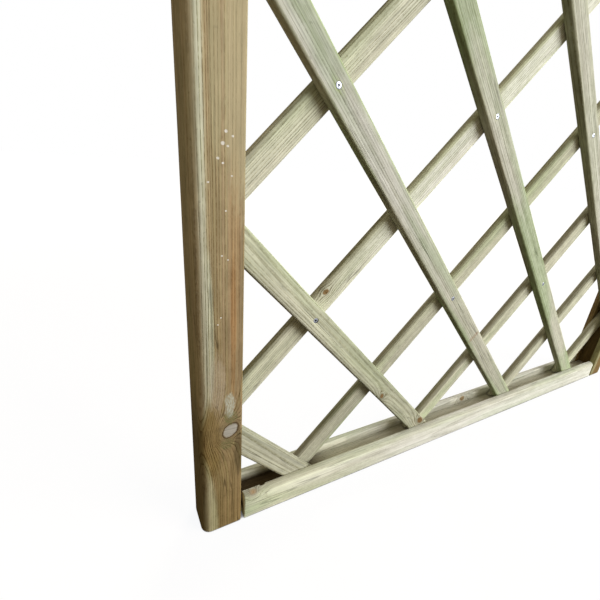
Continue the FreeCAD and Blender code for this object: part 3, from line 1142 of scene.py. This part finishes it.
class TRELLIS_OT_slats(Operator):
    """Models one slat and lays copies of it in both layers of the lattice"""

    bl_idname = "trellis.slats"
    bl_label = "Slats"

    # Green, grey and brightness of the slats that the photograph shows, and where along X they turn; the
    # brightness is partly the boards' own tone and partly painted light falloff
    ends = {
        "front_slat_01": ((0.2, 0.05, 0.80), (0.2, 0.05, 0.80), -0.40, -0.30),
        "front_slat_02": ((0.5, 0.2, 0.98), (0.5, 0.1, 0.80), -0.32, -0.24),
        "front_slat_03": ((1.4, 0.85, 0.98), (1.0, 0.4, 0.84), -0.26, -0.06),
        "front_slat_04": ((1.3, 0.6, 0.92), (1.0, 0.4, 0.92), -0.10, 0.30),
        "rear_slat_03": ((0.7, 0.2, 1.01), (0.5, 0.2, 0.95), 0.10, 0.30),
        "rear_slat_04": ((1.1, 0.05, 0.78), (0.7, 0.1, 0.94), -0.26, -0.10),
        "rear_slat_05": ((0.3, 0.05, 0.97), (0.4, 0.8, 1.22), -0.34, -0.20),
        "rear_slat_06": ((0.4, 0.25, 1.03), (0.4, 0.4, 1.03), -0.36, -0.20),
    }
    # How much painted shade darkens the upper and lower edges, which face away from the light: on most
    # slats of a layer, and on some of them
    edge_shade = {
        "front": (0.0, 0.2),
        "rear": (0.37, 0.0),
        "front_slat_01": (0.3, 0.2),
        "front_slat_02": (0.12, 0.4),
        "rear_slat_03": (0.45, 0.0),
        "rear_slat_04": (0.28, 0.0),
    }
    # Piths of the slats whose cut is plain to see: across and through
    piths = {
        "front_slat_01": (0.030, 0.060),
        "front_slat_02": (0.040, 0.050),
        "front_slat_03": (0.110, 0.020),
        "front_slat_04": (0.120, 0.030),
    }

    def execute(self, context):
        s = sizes()
        rng = random.Random(20)
        screws = solid_places("lattice_screws", SCREW_APART)
        columns = sorted({round(x, 4) for x, _ in screws})
        rows = sorted({round(z, 4) for _, z in screws})
        span = columns[-1] - columns[0]
        row_pitch = (rows[-1] - rows[0]) / (len(rows) - 1)
        slope = row_pitch / (span / (len(columns) - 1))
        angle = math.atan(slope)
        lowest = s.stile_width / 2 - slope * span / 2
        half_slat = s.slat_width / 2
        plain = pine("treated_pine_slat", 0.0023, 0.009, 0.01, share=0.3)
        for layer, word, rounding in ((-1, "front", s.slat_round), (1, "rear", s.rear_round)):
            blank = self.blank(rounding)
            along = Vector((math.cos(angle), 0.0, layer * math.sin(angle)))
            across = Vector((-layer * math.sin(angle), 0.0, math.cos(angle)))
            for step, number in enumerate(slat_numbers):
                node = f"{word}_slat_{number}"
                height = lowest + row_pitch * step
                slat = copy_of(blank, node + "_board")
                place(slat, (0.0, -layer * angle, 0.0), (0.0, layer * s.slat_thickness / 2, height))
                self.trim(slat, height, layer * slope)
                planed(slat)
                mine = [p for p in screws if layer < 0 and abs(height - slope * p[0] - p[1]) < half_slat]
                depths = [screw_sink(p) + SCREW_ROOM for p in mine]
                sink_pockets(slat, mine, -s.slat_thickness, 1, s.screw_head + SCREW_PLAY, depths)
                smooth(slat)
                spin, far = rng.uniform(-0.6, 1.5), rng.uniform(0.05, 0.13)
                pith = self.piths.get(node, (far * math.cos(spin), far * math.sin(spin)))
                start_at = 30.0 + 3.3 * step + 1.7 * layer
                board = board_frame((0.0, 0.0, height), along, across, pith, start_at)
                first, last, low, high = self.ends.get(node) or self.any_ends(rng)
                upper, lower = self.edge_shade.get(node, self.edge_shade[word])

                def character(p):
                    turned = ramp(p.x, low, high)
                    green, grey, bright = (a + (b - a) * turned for a, b in zip(first, last))
                    down = (across.z * height - across.dot(p)) / half_slat
                    under = ramp(down, 0.8, 0.98) * (layer < 0)
                    over = ramp(down, -0.55, -0.85)
                    # Painted shade darkens the lower and upper edges that face away from the light, and
                    # takes grey out of the lower ones
                    edge = (1.0 - lower * under) * (1.0 - upper * over)
                    return green, grey * (1.0 - under), bright * edge

                lay_grain(slat, board, character)
                finish_piece(slat, node, self.marked(node, board) or plain)
            remove(blank)
        return {"FINISHED"}

    def any_ends(self, rng):
        """Characters that turn one into the other somewhere along a slat."""
        first, last = (
            (rng.uniform(0.15, 0.9), rng.uniform(0.1, 0.6), rng.uniform(0.80, 1.05)) for _ in range(2)
        )
        turn = rng.uniform(-0.3, 0.2)
        return first, last, turn, turn + 0.15

    def blank(self, rounding):
        """A straight slat along X with rounded edges, longer than any that is needed."""
        s = sizes()
        slat = start(bpy.ops.mesh.primitive_cube_add, "slat_blank", size=1.0)
        bpy.ops.transform.resize(value=(1.5 * 2 * half_width, s.slat_thickness, s.slat_width))
        pick("edges", lambda e: abs(e.verts[0].co.x - e.verts[1].co.x) > 0.1)
        bpy.ops.mesh.bevel(offset=rounding, offset_type="OFFSET", segments=5, affect="EDGES")
        for z in (-0.006, 0.0, 0.006):
            cut((0.0, 0.0, z), (0.0, 0.0, 1.0))
        lengthen((1.0, 0.0, 0.0), cuts=99)
        close_edit()
        return slat

    def trim(self, slat, height, rise):
        """Cuts a slat to the floors of the grooves, less the end gap."""
        s = sizes()
        side = half_width - s.stile_width + s.groove_depth - s.end_gap
        radius, centre = arch_circle()
        reach = radius - s.arch_height + s.groove_depth - s.end_gap
        edit(slat)
        for x in (-side, side):
            cut((x, 0.0, 0.0), (math.copysign(1.0, x), 0.0, 0.0), trim=True)
        cut((0.0, 0.0, s.rail_height - s.groove_depth + s.end_gap), (0.0, 0.0, -1.0), trim=True)
        # Where the slat's middle line meets the floor of the arch's groove
        a, b, c = 1 + rise ** 2, 2 * rise * (height - centre), (height - centre) ** 2 - reach ** 2
        if b * b > 4 * a * c:
            for sign in (-1, 1):
                x = (-b + sign * math.sqrt(b * b - 4 * a * c)) / (2 * a)
                z = height + rise * x
                if z > centre:
                    cut((x, 0.0, z), (x / reach, 0.0, (z - centre) / reach), trim=True)
        close_edit()

    def marked(self, node, board):
        """Timber of the slats with knots or stains of their own, or None."""
        at = on_face(board, -sizes().slat_thickness)
        on_rear = on_face(board, 0.0)
        if node == "front_slat_02":
            knots = [(at(-0.1146, 0.0419), 0.0055, 0.02, 0.0), (at(-0.2040, 0.1119), 0.0032, 0.02, 0.4)]
            return pine("treated_pine_knotty_slat", 0.0026, 0.016, 0.01, knots=knots, rim=0.3)
        if node == "front_slat_03":
            marks = [(at(-0.0377, 0.1723), (0.004, 0.014, SKIN), tint(150, 118, 90), 0.5, 1.0)]
            return pine("treated_pine_stained_slat", 0.0027, 0.005, 0.01, marks=marks, lines=0.75)
        if node == "rear_slat_05":
            knots = [(on_rear(-0.3040, 0.2687), 0.0034, 0.02, 0.3)]
            return pine("treated_pine_one_knot_slat", 0.0024, 0.010, 0.01, knots=knots, rim=0.3)
        return None


def screw_sink(spot):
    """How far below the slat's face a screw's head sits; one near the lower left was driven deep."""
    near = SCREW_APART / 2
    deep = abs(spot[0] - screw_low.x) < near and abs(spot[1] - screw_low.z) < near
    return DEEP_SINK if deep else SCREW_SINK


class TRELLIS_OT_screws(Operator):
    """Models one lattice screw with a cross recess and copies it to every place"""

    bl_idname = "trellis.screws"
    bl_label = "Lattice screws"

    def execute(self, context):
        s = sizes()
        rng = random.Random(7)
        one = self.screw(s.screw_head)
        copies = []
        for spot in solid_places("lattice_screws", SCREW_APART):
            copy = copy_of(one, "screw_copy")
            lean = [math.radians(rng.uniform(-2.5, 2.5)) for _ in range(2)]
            turn = Matrix.Rotation(lean[0], 3, "X") @ Matrix.Rotation(lean[1], 3, "Z")
            turn = turn @ Matrix.Rotation(rng.uniform(0.0, math.pi), 3, "Y")
            place(copy, turn.to_euler(), (spot[0], screw_sink(spot) - s.slat_thickness, spot[1]))
            copies.append(copy)
        remove(one)
        screws = join(copies, "lattice_screws_zinc")
        smooth(screws, 28.0)
        plating = metal("zinc_plating", colours().zinc, roughness=0.28, dull=0.35)
        finish_piece(screws, "lattice_screws", plating)
        return {"FINISHED"}

    def screw(self, radius):
        """Countersunk screw with its head's face at the origin, pointing along +Y."""
        screw = disc("screw", radius, 0.0004, (0.0, 0.0002, 0.0))
        pick("edges", lambda e: all(v.co.y < SAME for v in e.verts))
        bpy.ops.mesh.bevel(offset=0.00018, offset_type="OFFSET", segments=2, affect="EDGES")
        draw_out(1, ((0.0016, 0.5), (0.0144, 1.0), (0.0030, 0.12)))
        close_edit()
        long, thin, deep = 0.0038, 0.0015, 0.0032
        for arm_size in ((long, deep, thin), (thin, deep, long)):
            arm = start(bpy.ops.mesh.primitive_cube_add, "arm", size=1.0)
            bpy.ops.transform.resize(value=arm_size)
            pick("faces", lambda f: f.normal.y > 0.9)
            bpy.ops.transform.resize(value=(0.45, 1.0, 0.45))
            close_edit()
            cut_away(screw, arm)
        # Grime and painted shade darken the screw from its face inwards, which shows in the cross recess
        store(screw.data, "grime", [min(v.co.y / 0.0008, 1.0) for v in screw.data.vertices])
        return screw


class TRELLIS_OT_pins(Operator):
    """Models one frame pin with a dished head and copies it to every tenon"""

    bl_idname = "trellis.pins"
    bl_label = "Frame pins"

    def execute(self, context):
        s = sizes()
        one = disc("pin", s.pin_head, 0.0006, (0.0, -0.0003, 0.0))
        pick("faces", lambda f: f.normal.y > 0.9)
        for inset, lift in ((0.0007, 0.00025), (0.0009, -0.0003)):
            bpy.ops.mesh.inset(thickness=inset)
            bpy.ops.transform.translate(value=(0.0, lift, 0.0))
        draw_out(-1, ((0.0015, 0.47), (0.0346, 1.0), (0.0030, 0.15)))
        close_edit()
        copies = []
        for x, z in solid_places("frame_pins", PIN_APART):
            copy = copy_of(one, "pin_copy")
            place(copy, (0.0, 0.0, 0.0), (x, s.frame_depth / 2 - PIN_SINK, z))
            copies.append(copy)
        remove(one)
        pins = join(copies, "frame_pins_galvanised")
        smooth(pins, 28.0)
        coating = metal("galvanised_coating", colours().steel, roughness=0.45, dull=0.6)
        finish_piece(pins, "frame_pins", coating)
        return {"FINISHED"}


class TRELLIS_OT_dowels(Operator):
    """Finishes the dowels of the arch, which stay as the frame has them"""

    bl_idname = "trellis.dowels"
    bl_label = "Arch dowels"

    def execute(self, context):
        material, net, shader = new_material("beech_dowel")
        here = net.coordinates("Object")
        flecks = net.noise(here, (90.0, 900.0, 900.0), 3.0)[0]
        bands = net.noise(here, (12.0, 160.0, 160.0))[0]
        pale, dark = solid_colour(colours().beech), solid_colour(tint(150, 108, 70))
        colour = net.mix(net.ease(flecks, 0.45, 0.7, 0.0, 0.6), pale, dark)
        net.feed(shader.inputs["Base Color"], net.scale(colour, net.ease(bands, 0.3, 0.7, 0.85, 1.08)))
        net.feed(shader.inputs["Roughness"], net.ease(flecks, 0.3, 0.7, 0.5, 0.65))
        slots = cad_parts["arch_dowels"].data.materials
        slots.clear()
        slots.append(material)
        return {"FINISHED"}


class TRELLIS_OT_stage(Operator):
    """Sets the floor, the soft lights, the pale surroundings and the camera"""

    bl_idname = "trellis.stage"
    bl_label = "Stage"

    def execute(self, context):
        g = context.scene.trellis_stage
        floor = start(bpy.ops.mesh.primitive_plane_add, "floor", size=30.0, location=(0.0, 0.0, -0.0004))
        close_edit()
        floor.data.materials.append(self.floor_material(g))
        self.softbox("key_light", Vector((2.8, -2.95, 1.95)), size=3.0, power=g.key_power)
        self.softbox("back_light", Vector((2.8, 3.2, 2.6)), size=2.2, power=g.back_power)
        self.surroundings(g)
        self.camera(context)
        context.scene.view_settings.view_transform = "Standard"
        return {"FINISHED"}

    def seen_directly(self, net):
        """1 for rays that show a surface: from the camera, in a reflection or through glass."""
        path = net.node("ShaderNodeLightPath", {})
        return net.most(path["Is Camera Ray"], path["Is Glossy Ray"], path["Is Transmission Ray"])

    def floor_material(self, g):
        material, net, shader = new_material("floor_pale")
        shader.inputs["Base Color"].default_value = solid_colour(g.floor)
        shader.inputs["Roughness"].default_value = 0.9
        shader.inputs["Specular IOR Level"].default_value = 0.0
        away = net.vector("LENGTH", net.coordinates("Object"))
        pale = net.mix(net.ease(away, 1.0, 3.5), solid_colour(g.paleness), WHITE)
        # Painted contact shadow: the floor's glow dims in narrow gaps under the trellis
        open_sky = net.node("ShaderNodeAmbientOcclusion", {"Distance": 0.012}, samples=16)["AO"]
        net.feed(shader.inputs["Emission Color"], net.scale(pale, net.ease(open_sky, 0.2, 0.55, 0.12, 1.0)))
        net.feed(shader.inputs["Emission Strength"], self.seen_directly(net))
        return material

    def softbox(self, name, spot, size, power):
        """An area light that faces the middle of the trellis."""
        aim = Vector((0.0, 0.0, 0.7))
        bpy.ops.object.light_add(type="AREA", location=spot)
        light = bpy.context.object
        light.name = name
        light.rotation_euler = (aim - spot).to_track_quat("-Z", "Y").to_euler()
        light.data.size = size
        light.data.energy = power

    def surroundings(self, g):
        """White where it is seen, and a soft warm sky where it lights the trellis."""
        world = bpy.context.scene.world or bpy.data.worlds.new("surroundings")
        bpy.context.scene.world = world
        world.use_nodes = True
        world.node_tree.nodes.clear()
        net = Net(world.node_tree)
        upward = net.split(net.coordinates("Generated"))[2]
        light = net.scale(tuple(g.sky_tint), net.ease(upward, 0.0, 0.9, g.sky_low, g.sky_high))
        shown = net.mix(self.seen_directly(net), light, WHITE)
        background = net.node("ShaderNodeBackground", {"Color": shown, "Strength": 1.0})
        net.node("ShaderNodeOutputWorld", {"Surface": background[0]})

    def camera(self, context):
        """Camera at the viewing angle of the photograph, close to the lower left corner."""
        right = Vector((0.881854, -0.466127, 0.071131))
        up = Vector((0.112357, 0.354236, 0.928382))
        turn = Matrix((right, up, right.cross(up))).transposed()
        bpy.ops.object.camera_add(location=(-0.50730, -0.30387, 0.39988), rotation=turn.to_euler())
        camera = bpy.context.object
        camera.name = "camera"
        camera.data.sensor_width = 36.0
        camera.data.lens = 21.3122
        camera.data.clip_start = 0.01
        context.scene.camera = camera


class TRELLIS_PT_panel(Panel):
    """Lists the pieces of the trellis with their sizes and colours"""

    bl_idname = "TRELLIS_PT_panel"
    bl_label = "Arched Garden Trellis"
    bl_space_type = "VIEW_3D"
    bl_region_type = "UI"
    bl_category = "Trellis"

    def draw(self, context):
        layout = self.layout
        for operator in OPERATORS:
            layout.operator(operator.bl_idname)
        scene = context.scene
        for settings in (scene.trellis_sizes, scene.trellis_colours, scene.trellis_stage):
            box = layout.box()
            for name in settings.__annotations__:
                box.prop(settings, name)


OPERATORS = (
    TRELLIS_OT_stiles,
    TRELLIS_OT_rail,
    TRELLIS_OT_arch,
    TRELLIS_OT_slats,
    TRELLIS_OT_screws,
    TRELLIS_OT_pins,
    TRELLIS_OT_dowels,
    TRELLIS_OT_stage,
)
CLASSES = (TrellisSizes, TrellisColours, TrellisStage, *OPERATORS, TRELLIS_PT_panel)


def register():
    for item in CLASSES:
        bpy.utils.register_class(item)
    bpy.types.Scene.trellis_sizes = PointerProperty(type=TrellisSizes)
    bpy.types.Scene.trellis_colours = PointerProperty(type=TrellisColours)
    bpy.types.Scene.trellis_stage = PointerProperty(type=TrellisStage)


def unregister():
    del bpy.types.Scene.trellis_stage
    del bpy.types.Scene.trellis_colours
    del bpy.types.Scene.trellis_sizes
    for item in reversed(CLASSES):
        bpy.utils.unregister_class(item)


def main():
    register()
    bpy.ops.trellis.stiles()
    bpy.ops.trellis.rail()
    bpy.ops.trellis.arch()
    bpy.ops.trellis.slats()
    bpy.ops.trellis.screws()
    bpy.ops.trellis.pins()
    bpy.ops.trellis.dowels()
    bpy.ops.trellis.stage()


if __name__ == "__main__":
    main()
